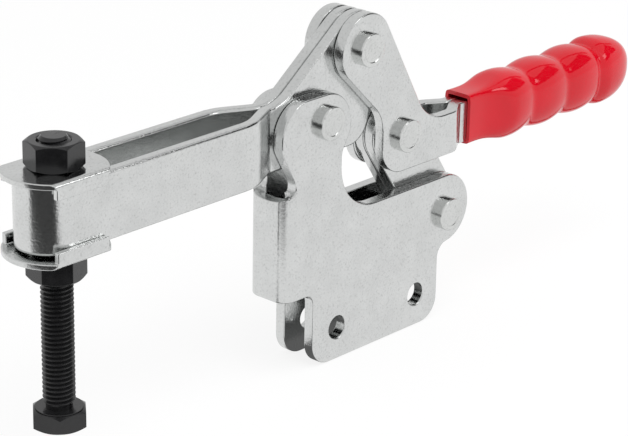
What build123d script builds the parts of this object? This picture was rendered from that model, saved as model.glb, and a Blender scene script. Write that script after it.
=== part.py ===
"""Toggle clamp with a straight base, an open U-shaped arm and a screw spindle.

Frame, in millimetres: +Z up, +X from the spindle towards the grip, Y across the clamp.
The origin is the middle of the two mounting holes. The clamp is drawn closed.
"""
from build123d import *
import math
import os

os.makedirs("parts", exist_ok=True)

# ---- sheet metal and the layers across the clamp (Y) ----
sheet = 5.0                # thickness of every pressed sheet part
seam = 0.2                 # gap between two sheets that lie side by side in the middle
side_gap = 0.2             # play between the middle pair and the outer sheets
fit = 0.05                 # radial clearance of a pin, bush or screw in its bore
cut_past = 1.0             # how far a cutting shape runs past what it cuts
edge_roll = 0.8            # rounding that the press leaves on the outer edges

pair_half = seam / 2 + sheet              # outer face of the middle pair
cheek_in = pair_half + side_gap           # inner face of the base cheeks and handle plates
cheek_out = cheek_in + sheet              # outer face of the base cheeks and handle plates

# ---- pivots, as (X, Z) ----
arm_pivot = (-32.0, 88.0)                 # arm on base
handle_pivot = (-10.0, 112.6)             # handle on arm
knee_pivot = (14.2, 71.8)                 # link on handle
link_pivot = (42.0, 31.0)                 # link on base

# ---- rivet pins and bushes ----
pin_r = 4.5
bush_wall = 1.5
bush_r = pin_r + fit + bush_wall
head_r = 6.8
head_high = 3.1
head_chamfer = 0.6
head_dish_r = 4.9
head_dish_deep = 0.3

# ---- base ----
mount_pitch = 48.0                        # between the two mounting holes
mount_hole_r = 4.75
foot_front = -38.2
foot_rear = 37.5
foot_bottom = -13.6
foot_corner = 9.5
web_front = -55.2                         # front face of the folded web
web_bottom = 18.2
web_top = 62.0                            # floor of the notches between tongue and ears
tongue_top = 67.0                         # the middle of the web stands higher
tongue_half = 3.2
tongue_corner = 1.2
relief_round = 3.0                        # inside corners of the notches beside the tongue
fold_r = 3.5                              # radius of the fold at the middle of the sheet
step_corner = 4.5                         # inside corner between foot and web
deck = 47.6                               # top edge of the cheeks behind the ears
lobe_rear = 56.0                          # rear end of the lobe that holds the link
lobe_r = 14.7
lobe_root = 6.0
neck_rear = -23.2
neck_sweep = 20.0
ear_top = 99.4
ear_front = -57.2
ear_rear = -18.4
ear_corner = 14.0
ear_chin = 18.0                           # the straight front edge ends this far below the top
ear_heel = 17.5                           # and the rear edge this far
neck_start = 26.0                         # the neck runs down from this far below the top
ear_low_corner = 8.0
ear_root = 6.0                            # inside corner where the ear meets the fold

# ---- clamping arm ----
arm_top = 98.4
arm_bottom = 72.1
arm_gap_half = 7.6                        # half of the open slot between the arm's walls
arm_out = arm_gap_half + sheet            # outer face of the arm's walls
nose_x = -165.6                           # centre of the arm's round nose
pinch_start = -74.0                       # the walls turn inwards here
pinch_end = -59.5                         # and lie side by side from here on
pinch_ease = 20.0                         # radius of the first bend
pinch_bend = 6.0                          # and of the second
arm_lobe = 14.2                           # round end at the handle pivot
arm_rise = 37.0                           # slope of the raised part, in degrees
arm_rise_sweep = 20.0
arm_heel = 11.0                           # lower rear corner
arm_back_lean = 12.0                      # lean of the rear edge, in degrees

# ---- handle ----
handle_lobe = 14.2
handle_back_slope = 60.4                  # rear edge below the lobe, in degrees
handle_back_sweep = 18.0
handle_front_slope = 44.2                 # front edge below the lobe, in degrees
handle_front_sweep = 14.0
handle_front = 1.1                        # front edge beside the knee
handle_toe = 12.0
tang_top = 74.3
tang_bottom = 56.5
tang_end_in = 12.1                        # the tang ends this far inside the grip's end
tang_corner = 6.0
joggle_start = 46.0
joggle_end = 54.0
joggle_bend = 5.0

# ---- link ----
link_half = 13.3
slot_reach = 19.3                         # travel of the open pivot in its slot
slot_play = 0.4                           # clearance round the bush at rest
slot_flare = 4.0                          # and how much more there is at the far end

# ---- spindle, nuts and washers ----
spindle_x = -162.6
screw_r = 6.0
screw_end_chamfer = 1.2
hex_flats = 19.0
nut_high = 10.0
screw_head_high = 7.5
screw_head_top = 9.0
screw_length = 103.2
hex_rim_in = 0.3                          # the chamfer's round rim lies this far inside the flats
hex_chamfer_angle = 30.0
screw_face_r = 8.8                        # raised round face on top of the screw's head
screw_face_high = 0.5
upper_nut_turn = 13.5
lower_nut_turn = 20.3
screw_head_turn = 49.0
washer_r = 19.4
washer_thick = 2.2
washer_hole_r = 6.6
washer_side_gap = 0.1
lower_washer_drop = 0.9     # the lower washer hangs a little below the arm
flange_high = 6.2
flange_half = 12.0
flange_round = 1.8

# ---- grip ----
grip_mouth = 59.5
grip_wall = 1.5
grip_mouth_round = 2.0
grip_axis = 66.2                          # height of the grip's middle line
grip_half = 14.6                          # half height at a finger bump
grip_narrow = 0.9                         # width over height
grip_bumps = 4
grip_pitch = 23.0
grip_dip = 2.1                            # depth of the creases between the bumps
grip_first_crease = 98.0
grip_neck_back = 13.5                     # the neck meets the first bump this far before its crease
neck_half = 14.4                          # half height there
waist_share = 0.54                        # the neck stays slim over this share of its length
waist_grow = 1.0                          # and is this much larger all round where it starts to swell
waist_round = 5.0
grip_last_rise = 6.1                      # from the last crease to the widest point of the end
grip_end_reach = 22.0                     # and from there to the tip
tang_play = 0.15


def sharp_corner(builder, point, radius):
    """Round the sketch corner at a point."""
    corner = builder.vertices().sort_by_distance(Vector(point[0], point[1], 0))[0]
    fillet(corner, radius)


def outline(points, corners, lobe, lobe_radius):
    """Join a polygon with a round lobe, then round each (x, y, radius) corner."""
    with BuildSketch() as shape:
        Polygon(*points, align=None)
        with Locations(lobe):
            Circle(lobe_radius)
        for x, y, radius in corners:
            sharp_corner(shape, (x, y), radius)
    return shape.sketch


def strip(path_points, bends):
    """Follow a path in the XY plane with a band as thick as the sheet."""
    with BuildSketch() as band:
        with BuildLine() as path:
            Polyline(*path_points)
            for point, radius in bends:
                corner = path.vertices().sort_by_distance(Vector(point[0], point[1], 0))[0]
                fillet(corner, radius)
        trace(line_width=sheet)
    return band.sketch


def tangent_point(centre, radius, angle):
    """Point on a circle at an angle in degrees."""
    a = math.radians(angle)
    return (centre[0] + radius * math.cos(a), centre[1] + radius * math.sin(a))


def along(point, angle, height):
    """Point where a line from a point, at an angle in degrees, reaches a height."""
    run = (height - point[1]) / math.tan(math.radians(angle))
    return (point[0] + run, height)


def down_to(point, angle, x):
    """Point where a line from a point, at an angle in degrees, reaches an x."""
    return (x, point[1] + (x - point[0]) * math.tan(math.radians(angle)))


def drill(point, radius):
    """Bore through the whole part, across the clamp."""
    with BuildSketch(Plane.XZ) as flat:
        with Locations(point):
            Circle(radius)
    extrude(flat.sketch, amount=cheek_out + cut_past, both=True, mode=Mode.SUBTRACT)


def rivet(point):
    """A pin through both outer sheets, with a raised, dished head at each end."""
    top = cheek_out + head_high
    floor = top - head_dish_deep
    half = [
        (pin_r, cheek_out), (head_r, cheek_out), (head_r, top - head_chamfer), (head_r - head_chamfer, top),
        (head_dish_r, top), (head_dish_r - head_dish_deep, floor), (0, floor),
    ]
    other_half = [(x, -y) for x, y in reversed(half)]
    with BuildSketch(Plane.XY.offset(point[1])) as flat:
        with Locations((point[0], 0)):
            Polygon(*half, *other_half, align=None)
    revolve(flat.sketch, axis=Axis((point[0], 0, point[1]), (0, 1, 0)))


def bush(point):
    """A hard sleeve round a pin, as long as the middle pair with its play."""
    with BuildSketch(Plane.XZ) as flat:
        with Locations(point):
            Circle(bush_r)
            Circle(pin_r + fit, mode=Mode.SUBTRACT)
    extrude(flat.sketch, amount=cheek_in - fit, both=True)


def hexagon(low, high, chamfered, turn):
    """A hexagon prism round the spindle's axis; chamfered lists (level, +1 or -1) of rims to turn off."""
    corner = hex_flats / math.sqrt(3)
    rim = hex_flats / 2 - hex_rim_in
    beyond = corner + cut_past
    drop = (beyond - rim) * math.tan(math.radians(hex_chamfer_angle))
    with BuildSketch(Plane.XY.offset(low)) as flat:
        with Locations((spindle_x, 0)):
            RegularPolygon(corner, 6, rotation=turn)
    extrude(flat.sketch, amount=high - low)
    for level, sign in chamfered:
        with BuildSketch(Plane.XZ) as flat:
            with Locations((spindle_x, level)):
                Polygon((rim, 0), (beyond, 0), (beyond, -sign * drop), align=None)
        revolve(flat.sketch, axis=Axis((spindle_x, 0, 0), (0, 0, 1)), mode=Mode.SUBTRACT)


# ======================= base =======================
# one sheet: two cheeks with ears, feet and rear lobes, joined by a folded web in front
fold_outer = fold_r + sheet / 2
cheek_front = web_front + fold_outer
half_pitch = mount_pitch / 2

lobe_centre = (lobe_rear - lobe_r, deck - lobe_r)
lobe_foot = lobe_centre[1] - math.sqrt(lobe_r ** 2 - (foot_rear - lobe_centre[0]) ** 2)
cheek_corners = [
    (foot_front, web_bottom, step_corner),
    (foot_front, foot_bottom, foot_corner),
    (foot_rear, foot_bottom, foot_corner),
    (foot_rear, lobe_foot, lobe_root),
    (neck_rear, deck, neck_sweep),
    (neck_rear, ear_top - neck_start, ear_low_corner),
    (ear_rear, ear_top - ear_heel, ear_low_corner),
    (ear_rear, ear_top, ear_corner),
    (ear_front, ear_top, ear_corner),
    (ear_front, ear_top - ear_chin, ear_low_corner),
    (cheek_front, tongue_top, ear_root),
]
cheek_points = [(x, y) for x, y, _ in cheek_corners]
cheek_points.insert(4, lobe_centre)
cheek_points.insert(5, (lobe_centre[0], deck))
cheek_points.append((cheek_front, web_bottom))
cheek_shape = outline(cheek_points, cheek_corners, lobe_centre, lobe_r)

# the notch beside the tongue, first seen from the front, then from the side
with BuildPart() as relief:
    with BuildSketch(Plane.YZ.offset(web_front - cut_past)) as front_view:
        with Locations((tongue_half, web_top)):
            Rectangle(cheek_out, tongue_top, align=Align.MIN)
        sharp_corner(front_view, (tongue_half, web_top), relief_round)
    extrude(amount=fold_outer + cut_past)
    with BuildSketch(Plane.XZ) as side_view:
        with Locations((cheek_front, web_top)):
            Rectangle(fold_outer + cut_past, tongue_top, align=(Align.MAX, Align.MIN))
        sharp_corner(side_view, (cheek_front, web_top), relief_round)
    extrude(amount=tongue_half + cheek_out, both=True, mode=Mode.INTERSECT)

with BuildPart() as base:
    layer = cheek_in + sheet / 2
    web_mid = web_front + sheet / 2
    fold_shape = strip(
        [(cheek_front + sheet, -layer), (web_mid, -layer), (web_mid, layer), (cheek_front + sheet, layer)],
        [((web_mid, -layer), fold_r), ((web_mid, layer), fold_r)],
    )
    with BuildSketch(Plane.XY.offset(web_bottom)):
        add(fold_shape)
    extrude(amount=tongue_top - web_bottom)
    # the notches leave a tongue in the web's middle, under the arm
    add(relief.part, mode=Mode.SUBTRACT)
    mirror(relief.part, about=Plane.XZ, mode=Mode.SUBTRACT)
    tongue_edges = base.edges().filter_by(Axis.X).filter_by(lambda e: abs(e.center().Y) < cheek_in)
    fillet(tongue_edges.group_by(Axis.Z)[-1], tongue_corner)
    for side in (cheek_in, -cheek_out):
        with BuildSketch(Plane.XZ.offset(side)):
            add(cheek_shape)
        extrude(amount=sheet)
    for point in (arm_pivot, link_pivot):
        drill(point, pin_r + fit)
    for x in (-half_pitch, half_pitch):
        drill((x, 0), mount_hole_r)
    near_face, *_, far_face = base.faces().sort_by(Axis.Y)
    fillet(near_face.edges() + far_face.edges(), edge_roll)
base.part.label = "base"
export_step(base.part, "parts/base.step")

# ======================= clamping arm =======================
arm_layer = seam / 2 + sheet / 2
wall_layer = arm_gap_half + sheet / 2
lobe_front = tangent_point(handle_pivot, arm_lobe, 90 + arm_rise)
lobe_back = tangent_point(handle_pivot, arm_lobe, -arm_back_lean)
rise_foot = along(lobe_front, arm_rise, arm_top)
heel = along(lobe_back, 90 - arm_back_lean, arm_bottom)
nose_front = nose_x - wall_layer - sheet

with BuildPart() as arm:
    # top view of the strip: both walls and the round nose
    with BuildSketch(Plane.XY.offset(arm_bottom)):
        for s in (1, -1):
            add(strip(
                [(nose_x, s * wall_layer), (pinch_start, s * wall_layer), (pinch_end, s * arm_layer),
                 (handle_pivot[0] + 2 * arm_lobe, s * arm_layer)],
                [((pinch_start, s * wall_layer), pinch_ease), ((pinch_end, s * arm_layer), pinch_bend)],
            ))
        with BuildLine():
            CenterArc((nose_x, 0), wall_layer, 90, 180)
        trace(line_width=sheet)
    extrude(amount=handle_pivot[1] + 2 * arm_lobe - arm_bottom)
    # side view: the bar, the raised part and the lobe at the handle pivot
    with BuildSketch(Plane.XZ) as side_view:
        Polygon(
            (nose_front, arm_bottom), heel, lobe_back, handle_pivot, lobe_front, rise_foot,
            (nose_front, arm_top), align=None,
        )
        sharp_corner(side_view, rise_foot, arm_rise_sweep)
        sharp_corner(side_view, heel, arm_heel)
        with Locations(handle_pivot):
            Circle(arm_lobe)
    extrude(amount=arm_out + cut_past, both=True, mode=Mode.INTERSECT)
    for point in (arm_pivot, handle_pivot):
        drill(point, bush_r + fit)
arm.part.label = "arm"
export_step(arm.part, "parts/arm.step")

# ======================= handle plates =======================
last_crease = grip_first_crease + (grip_bumps - 2) * grip_pitch
end_peak = last_crease + grip_last_rise
grip_end = end_peak + grip_end_reach
tang_end = grip_end - tang_end_in
front_line = tangent_point(handle_pivot, handle_lobe, 180 + 90 - handle_front_slope)
back_line = tangent_point(handle_pivot, handle_lobe, 90 - handle_back_slope)
front_foot = down_to(front_line, -handle_front_slope, handle_front)
back_foot = along(back_line, -handle_back_slope, tang_top)


def handle_plate(side):
    """One handle plate: flat beside the pivots, stepped inwards to the tang in the grip."""
    outer = side * (cheek_in + sheet / 2)
    inner = side * arm_layer
    with BuildSketch(Plane.XY.offset(tang_bottom)) as flat:
        add(strip(
            [(handle_pivot[0] - 2 * handle_lobe, outer), (joggle_start, outer), (joggle_end, inner),
             (tang_end, inner)],
            [((joggle_start, outer), joggle_bend), ((joggle_end, inner), joggle_bend)],
        ))
    extrude(flat.sketch, amount=handle_pivot[1] + 2 * handle_lobe - tang_bottom)
    with BuildSketch(Plane.XZ) as flat:
        Polygon(
            handle_pivot, front_line, front_foot, (handle_front, tang_bottom), (tang_end, tang_bottom),
            (tang_end, tang_top), back_foot, back_line, align=None,
        )
        sharp_corner(flat, front_foot, handle_front_sweep)
        sharp_corner(flat, (handle_front, tang_bottom), handle_toe)
        sharp_corner(flat, (tang_end, tang_bottom), tang_corner)
        sharp_corner(flat, (tang_end, tang_top), tang_corner)
        sharp_corner(flat, back_foot, handle_back_sweep)
        with Locations(handle_pivot):
            Circle(handle_lobe)
    extrude(flat.sketch, amount=arm_out + cut_past, both=True, mode=Mode.INTERSECT)
    for point in (handle_pivot, knee_pivot):
        drill(point, pin_r + fit)


with BuildPart() as handle_near:
    handle_plate(-1)
handle_near.part.label = "handle_near"
export_step(handle_near.part, "parts/handle_near.step")

with BuildPart() as handle_far:
    handle_plate(1)
handle_far.part.label = "handle_far"
export_step(handle_far.part, "parts/handle_far.step")

# ======================= link plates =======================
link_dx = link_pivot[0] - knee_pivot[0]
link_dz = link_pivot[1] - knee_pivot[1]
link_length = math.hypot(link_dx, link_dz)
link_angle = math.degrees(math.atan2(link_dz, link_dx))
link_middle = ((knee_pivot[0] + link_pivot[0]) / 2, (knee_pivot[1] + link_pivot[1]) / 2)


def link_plate(side):
    """One link plate, with a bore at the knee and the open pivot's slot at the base."""
    near = seam / 2 if side < 0 else -seam / 2 - sheet
    with BuildSketch(Plane.XZ.offset(near)) as flat:
        with Locations(link_middle):
            SlotOverall(link_length + 2 * link_half, 2 * link_half, rotation=link_angle)
        with Locations(knee_pivot):
            Circle(bush_r + fit, mode=Mode.SUBTRACT)
        # the bush runs towards -X in the slot while the clamp opens
        home_r = bush_r + slot_play
        far_r = home_r + slot_flare
        far = (link_pivot[0] - slot_reach, link_pivot[1])
        with Locations(link_pivot):
            Circle(home_r, mode=Mode.SUBTRACT)
        with Locations(far):
            Circle(far_r, mode=Mode.SUBTRACT)
        Polygon(
            (link_pivot[0], link_pivot[1] + home_r), (link_pivot[0], link_pivot[1] - home_r),
            (far[0], far[1] - far_r), (far[0], far[1] + far_r), align=None, mode=Mode.SUBTRACT,
        )
    extrude(flat.sketch, amount=sheet)


with BuildPart() as link_near:
    link_plate(-1)
link_near.part.label = "link_near"
export_step(link_near.part, "parts/link_near.step")

with BuildPart() as link_far:
    link_plate(1)
link_far.part.label = "link_far"
export_step(link_far.part, "parts/link_far.step")

# ======================= rivet pins =======================
with BuildPart() as arm_pin:
    rivet(arm_pivot)
arm_pin.part.label = "arm_pin"
export_step(arm_pin.part, "parts/arm_pin.step")

with BuildPart() as handle_pin:
    rivet(handle_pivot)
handle_pin.part.label = "handle_pin"
export_step(handle_pin.part, "parts/handle_pin.step")

with BuildPart() as knee_pin:
    rivet(knee_pivot)
knee_pin.part.label = "knee_pin"
export_step(knee_pin.part, "parts/knee_pin.step")

with BuildPart() as link_pin:
    rivet(link_pivot)
link_pin.part.label = "link_pin"
export_step(link_pin.part, "parts/link_pin.step")

# ======================= bushes =======================
with BuildPart() as arm_bush:
    bush(arm_pivot)
arm_bush.part.label = "arm_bush"
export_step(arm_bush.part, "parts/arm_bush.step")

with BuildPart() as handle_bush:
    bush(handle_pivot)
handle_bush.part.label = "handle_bush"
export_step(handle_bush.part, "parts/handle_bush.step")

with BuildPart() as knee_bush:
    bush(knee_pivot)
knee_bush.part.label = "knee_bush"
export_step(knee_bush.part, "parts/knee_bush.step")

with BuildPart() as link_bush:
    bush(link_pivot)
link_bush.part.label = "link_bush"
export_step(link_bush.part, "parts/link_bush.step")

# ======================= flanged washers =======================
upper_seat = arm_top + fit
lower_seat = arm_bottom - lower_washer_drop
flange_in = arm_out + washer_side_gap
flange_out = flange_in + washer_thick


def flanged_washer(seat, up):
    """A round plate on the arm with two flanges bent over the arm's walls."""
    with BuildSketch(Plane.XY.offset(seat)) as flat:
        with Locations((spindle_x, 0)):
            Circle(washer_r)
            Rectangle(3 * washer_r, 2 * flange_out, mode=Mode.INTERSECT)
    extrude(flat.sketch, amount=up * washer_thick)
    for s in (1, -1):
        with BuildSketch(Plane.XY.offset(seat + up * washer_thick)) as flat:
            with Locations((spindle_x, s * (flange_in + washer_thick / 2))):
                Rectangle(2 * flange_half, washer_thick)
        extrude(flat.sketch, amount=-up * flange_high)


def outer_bends(part, level):
    """The long outer edges of a washer's two bends."""
    return part.edges().filter_by(Axis.X).filter_by(
        lambda e: abs(abs(e.center().Y) - flange_out) < 0.01 and abs(e.center().Z - level) < 0.01)


with BuildPart() as upper_washer:
    flanged_washer(upper_seat, 1)
    fillet(outer_bends(upper_washer, upper_seat + washer_thick), flange_round)
    with BuildSketch(Plane.XY.offset(upper_seat)):
        with Locations((spindle_x, 0)):
            Circle(washer_hole_r)
    extrude(amount=washer_thick, mode=Mode.SUBTRACT)
upper_washer.part.label = "upper_washer"
export_step(upper_washer.part, "parts/upper_washer.step")

with BuildPart() as lower_washer:
    flanged_washer(lower_seat, -1)
    fillet(outer_bends(lower_washer, lower_seat - washer_thick), flange_round)
    with BuildSketch(Plane.XY.offset(lower_seat)):
        with Locations((spindle_x, 0)):
            Circle(washer_hole_r)
    extrude(amount=-washer_thick, mode=Mode.SUBTRACT)
lower_washer.part.label = "lower_washer"
export_step(lower_washer.part, "parts/lower_washer.step")

# ======================= nuts and spindle screw =======================
upper_nut_bottom = upper_seat + washer_thick
lower_nut_top = lower_seat - washer_thick


def nut(bottom, turn):
    """A plain hexagon nut with both rims turned off."""
    hexagon(bottom, bottom + nut_high, ((bottom + nut_high, 1), (bottom, -1)), turn)
    with BuildSketch(Plane.XY.offset(bottom)) as flat:
        with Locations((spindle_x, 0)):
            Circle(screw_r + fit)
    extrude(flat.sketch, amount=nut_high, mode=Mode.SUBTRACT)


with BuildPart() as upper_nut:
    nut(upper_nut_bottom, upper_nut_turn)
upper_nut.part.label = "upper_nut"
export_step(upper_nut.part, "parts/upper_nut.step")

with BuildPart() as lower_nut:
    nut(lower_nut_top - nut_high, lower_nut_turn)
lower_nut.part.label = "lower_nut"
export_step(lower_nut.part, "parts/lower_nut.step")

head_bottom = screw_head_top - screw_head_high
with BuildPart() as spindle:
    hexagon(head_bottom, screw_head_top - screw_face_high, ((head_bottom, -1),), screw_head_turn)
    with BuildSketch(Plane.XY.offset(screw_head_top - screw_face_high)):
        with Locations((spindle_x, 0)):
            Circle(screw_face_r)
    extrude(amount=screw_face_high)
    with BuildSketch(Plane.XY.offset(screw_head_top)):
        with Locations((spindle_x, 0)):
            Circle(screw_r)
    extrude(amount=screw_length)
    chamfer(spindle.faces().sort_by(Axis.Z)[-1].edges(), screw_end_chamfer)
spindle.part.label = "spindle"
export_step(spindle.part, "parts/spindle.step")

# ======================= grip =======================
cavity_y = pair_half + tang_play
cavity_low = tang_bottom - tang_play
cavity_high = tang_top + tang_play
mouth_z = (cavity_low + cavity_high) / 2
mouth_half_z = (cavity_high - cavity_low) / 2 + grip_wall
mouth_half_y = cavity_y + grip_wall
crease = grip_half - grip_dip
grip_neck_end = grip_first_crease - grip_neck_back
waist = waist_share * (grip_neck_end - grip_mouth)

with BuildPart() as grip:
    # half outline of the bumps above the middle line, turned round it and then narrowed
    with BuildSketch(Plane.XZ):
        with BuildLine():
            Polyline((grip_end, grip_axis), (grip_neck_end, grip_axis), (grip_neck_end, grip_axis + neck_half))
            ThreePointArc((grip_neck_end, grip_axis + neck_half),
                          (grip_first_crease - grip_pitch / 2, grip_axis + grip_half),
                          (grip_first_crease, grip_axis + crease))
            for i in range(grip_bumps - 2):
                x = grip_first_crease + i * grip_pitch
                ThreePointArc((x, grip_axis + crease), (x + grip_pitch / 2, grip_axis + grip_half),
                              (x + grip_pitch, grip_axis + crease))
            TangentArc((end_peak, grip_axis + grip_half), (last_crease, grip_axis + crease), tangent=(-1, 0))
            EllipticalCenterArc((end_peak, grip_axis), grip_end_reach, grip_half, arc_size=90)
        make_face()
    revolve(axis=Axis((0, 0, grip_axis), (1, 0, 0)))
    scale(by=(1, grip_narrow, 1))
    # the neck runs from the flat mouth to the front face of the first bump
    with BuildSketch(Plane.YZ.offset(grip_mouth)) as mouth:
        with Locations((0, mouth_z)):
            RectangleRounded(2 * mouth_half_y, 2 * mouth_half_z, grip_mouth_round)
    with BuildSketch(Plane.YZ.offset(grip_mouth + waist)) as slim:
        with Locations((0, mouth_z)):
            RectangleRounded(2 * (mouth_half_y + waist_grow), 2 * (mouth_half_z + waist_grow), waist_round)
    bump_front = grip.faces().sort_by(Axis.X)[0]
    loft([mouth.sketch.face(), slim.sketch.face(), bump_front])
    with BuildSketch(Plane.YZ.offset(grip_mouth)) as cavity:
        with Locations((0, mouth_z)):
            Rectangle(2 * cavity_y, cavity_high - cavity_low)
    extrude(cavity.sketch, amount=tang_end + tang_play - grip_mouth, mode=Mode.SUBTRACT)
grip.part.label = "grip"
export_step(grip.part, "parts/grip.step")
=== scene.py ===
# %% [markdown]
# # A toggle clamp, dressed part by part
# The clamp's solids come from the CAD model and stay where they are. This lesson gives them what a
# solid model leaves out: the rolled edges of pressed sheet, a real screw thread, a dipped grip, and
# finishes that answer the light as zinc, black oxide and soft vinyl do. Every length is in metres.

# %% Load the frame
import math

import bmesh
import bpy
from mathutils import Matrix, Vector


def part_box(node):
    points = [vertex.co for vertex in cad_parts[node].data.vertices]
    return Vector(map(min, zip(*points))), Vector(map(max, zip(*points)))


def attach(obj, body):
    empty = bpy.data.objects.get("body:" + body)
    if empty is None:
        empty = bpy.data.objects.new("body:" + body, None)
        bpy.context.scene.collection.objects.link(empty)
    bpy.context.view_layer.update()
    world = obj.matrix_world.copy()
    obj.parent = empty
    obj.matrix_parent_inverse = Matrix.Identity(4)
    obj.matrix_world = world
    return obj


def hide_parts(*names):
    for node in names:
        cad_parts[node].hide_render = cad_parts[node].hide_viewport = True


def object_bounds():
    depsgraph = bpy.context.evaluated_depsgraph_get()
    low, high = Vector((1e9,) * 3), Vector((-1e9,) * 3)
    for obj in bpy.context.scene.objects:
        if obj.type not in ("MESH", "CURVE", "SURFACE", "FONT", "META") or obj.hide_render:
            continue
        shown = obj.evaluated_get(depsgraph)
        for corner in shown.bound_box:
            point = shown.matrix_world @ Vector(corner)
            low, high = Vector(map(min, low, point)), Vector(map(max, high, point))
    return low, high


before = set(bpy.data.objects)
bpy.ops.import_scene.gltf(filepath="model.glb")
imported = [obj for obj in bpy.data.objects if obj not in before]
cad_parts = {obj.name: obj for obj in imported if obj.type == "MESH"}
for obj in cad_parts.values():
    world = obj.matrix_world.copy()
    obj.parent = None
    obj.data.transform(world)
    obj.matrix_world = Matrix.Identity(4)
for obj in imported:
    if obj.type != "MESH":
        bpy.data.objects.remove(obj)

cad_low, cad_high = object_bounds()
print("nodes:", len(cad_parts), "size in mm:", [round(v * 1000, 1) for v in cad_high - cad_low])

# %% [markdown]
# ## Helpers for finishes
# Every finish below is a Principled shader with a few textures in front of it. It could be drawn by
# hand in the shader editor, but a script can be read, compared and made again. A few short functions
# let each finish read as a list of what it is made of. The first makes an empty finish, and the second
# adds a node and fills its inputs by name.

# %% An empty finish, and a node in it
white = (1, 1, 1, 1)
black = (0, 0, 0, 1)


def new_finish(name):
    """Make a material and return it with its node tree and its shader."""
    material = bpy.data.materials.new(name)
    material.use_nodes = True
    tree = material.node_tree
    return material, tree, tree.nodes["Principled BSDF"]


def node(tree, kind, **settings):
    """Add a node. A setting named after an input fills that input, any other is the node's own."""
    made = tree.nodes.new(kind)
    for key, value in settings.items():
        socket = made.inputs.get(key.replace("_", " "))
        if socket is None:
            setattr(made, key, value)
        else:
            socket.default_value = value
    return made


# %% [markdown]
# ## Noise, tones and bumps
# Noise is read at each point's place on the piece itself, so it stays put when the clamp moves. Its
# scale counts cells in a metre: a scale of 1000 gives a grain of one millimetre. A ramp turns the noise
# into tones, and a bump tilts the surface a little without moving it, which suits what is far finer
# than the mesh.

# %% Noise, tones and bumps
def noises(tree, *kinds):
    """Noise on the piece's own coordinates, each given as (cells in a metre, detail, roughness)."""
    place = node(tree, "ShaderNodeTexCoord").outputs["Object"]
    made = []
    for cells, detail, roughness in kinds:
        texture = node(tree, "ShaderNodeTexNoise", Scale=cells, Detail=detail, Roughness=roughness)
        tree.links.new(place, texture.inputs["Vector"])
        made.append(texture.outputs["Fac"])
    return made


def ramp(tree, source, stops):
    """Map a texture through (position, grey or colour) stops."""
    made = tree.nodes.new("ShaderNodeValToRGB")
    tree.links.new(source, made.inputs["Fac"])
    bar = made.color_ramp
    while len(bar.elements) < len(stops):
        bar.elements.new(0.5)
    for element, (place, tone) in zip(bar.elements, stops):
        element.position = place
        element.color = (tone, tone, tone, 1) if isinstance(tone, (int, float)) else (*tone, 1)
    return made.outputs["Color"]


def bumps(tree, shader, *layers):
    """Tilt a shader's surface by layers of (height, strength, distance), the broadest first."""
    below = None
    for height, strength, distance in layers:
        layer = node(tree, "ShaderNodeBump", Strength=strength, Distance=distance)
        tree.links.new(height, layer.inputs["Height"])
        if below:
            tree.links.new(below, layer.inputs["Normal"])
        below = layer.outputs["Normal"]
    tree.links.new(below, shader.inputs["Normal"])


def colour_mix(tree, **settings):
    """Add a node that mixes two colours, and return it with its two colour inputs and its output."""
    mix = node(tree, "ShaderNodeMix", data_type="RGBA", **settings)
    # the node has a set of sockets for each kind of data, and these are the colour ones
    return mix, mix.inputs[6], mix.inputs[7], mix.outputs[2]


# %% [markdown]
# ## Bright zinc on rolled sheet
# Zinc plating is a thin bright coat that keeps the skin of the sheet below it. That skin has a fine
# grain about a millimetre across, which breaks every reflection into specks, and slow cloudy patches.
# A flat grey metal would show none of that, and a picture of the grain would have to be wrapped round
# each bend. So the grain is noise: a fine bump for the specks of light, a slow one for the unevenness
# of rolled sheet, and a weak change of colour and roughness for the clouds. The bushes take the same
# finish in a duller tone, as bare steel.

# %% Zinc
cloud_shade = 0.92              # the clouds' colour, as a share of the plating's
speck_weight = 0.8              # how strongly the specks darken the plating
slow_bump = 0.2
slow_height = 0.0002
grain_height = 0.00006


def zinc(name, colour, rough, grain):
    """A plated sheet: metal with clouds, a fine grain and a few darker specks."""
    material, tree, shader = new_finish(name)
    shader.inputs["Metallic"].default_value = 1.0
    clouds, specks, skin, waves = noises(
        tree, (90.0, 5.0, 0.6), (1100.0, 3.0, 0.6), (1000.0, 3.0, 0.6), (140.0, 2.0, 0.5))
    darker = tuple(cloud_shade * c for c in colour)
    mix, first, second, result = colour_mix(tree, blend_type="MULTIPLY")
    mix.inputs["Factor"].default_value = speck_weight
    tree.links.new(ramp(tree, clouds, [(0.3, darker), (0.7, colour)]), first)
    tree.links.new(ramp(tree, specks, [(0.30, 0.76), (0.44, 0.96), (0.70, 1.0)]), second)
    tree.links.new(result, shader.inputs["Base Color"])
    shine = ramp(tree, clouds, [(0.25, rough + 0.05), (0.75, rough - 0.03)])
    tree.links.new(shine, shader.inputs["Roughness"])
    bumps(tree, shader, (waves, slow_bump, slow_height), (skin, grain, grain_height))
    return material


plate_zinc = zinc("plate_zinc", (0.73, 0.74, 0.735), 0.15, 1.0)
pin_zinc = zinc("pin_zinc", (0.73, 0.74, 0.73), 0.15, 0.5)
bush_steel = zinc("bush_steel", (0.45, 0.46, 0.46), 0.32, 0.2)
print("zinc finishes:", plate_zinc.name, pin_zinc.name, bush_steel.name)

# %% [markdown]
# ## Black oxide on the screw and nuts
# Black oxide is a conversion coat: it takes the steel's colour away but leaves its faces, so flats
# and threads still gleam a little. Black metal would mirror the room too clearly. A near-black
# surface that isn't metal, with a roughness that drifts and a very fine bump, gleams only at its edges.

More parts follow.
